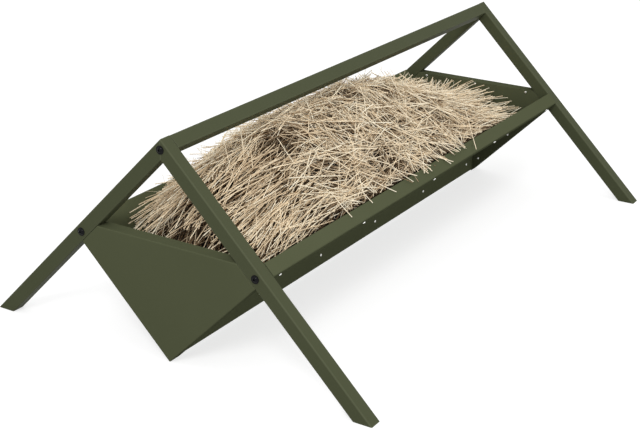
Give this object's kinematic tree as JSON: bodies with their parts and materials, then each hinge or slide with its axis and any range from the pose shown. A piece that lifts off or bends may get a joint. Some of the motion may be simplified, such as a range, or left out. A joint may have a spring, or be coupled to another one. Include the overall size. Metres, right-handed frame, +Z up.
{
  "type": "feed trough",
  "caption": "Free-standing hay trough: a V-shaped folded sheet trough hung between two A-frames of square tube under a ridge rail, filled with hay.",
  "frame": {"origin": "on the floor, under the middle of the trough", "axes": "+X along the trough to its far end, +Y to the back, +Z up"},
  "size_m": [1.8432, 1.256, 0.628],
  "materials": {
    "frame_paint": "satin olive powder coat",
    "sheet_paint": "satin olive powder coat",
    "black_bolts": "glossy black oxide",
    "zinc_screws": "bright zinc",
    "zinc_hardware": "dull zinc",
    "hay": "dry stems"
  },
  "bodies": {
    "root": {"back_rail": "frame_paint", "back_rail_bolts": "black_bolts", "back_rail_end_nuts": "zinc_hardware", "back_rail_end_plates": "zinc_hardware", "back_rail_screws": "zinc_screws", "back_wall": "sheet_paint", "far_back_leg": "frame_paint", "far_bolt_sleeves": "zinc_hardware", "far_end_pan": "sheet_paint", "far_end_screws": "zinc_screws", "far_front_leg": "frame_paint", "far_inner_end_plate": "sheet_paint", "front_rail": "frame_paint", "front_rail_bolts": "black_bolts", "front_rail_end_nuts": "zinc_hardware", "front_rail_end_plates": "zinc_hardware", "front_rail_screws": "zinc_screws", "front_wall": "sheet_paint", "hay": "hay", "near_back_leg": "frame_paint", "near_bolt_sleeves": "zinc_hardware", "near_end_pan": "sheet_paint", "near_end_screws": "zinc_screws", "near_front_leg": "frame_paint", "near_inner_end_plate": "sheet_paint", "ridge_bolts": "black_bolts", "ridge_end_nuts": "zinc_hardware", "ridge_end_plates": "zinc_hardware", "ridge_tube": "frame_paint", "seam_nuts": "zinc_screws", "seam_screws": "zinc_screws"}
  },
  "joints": []
}
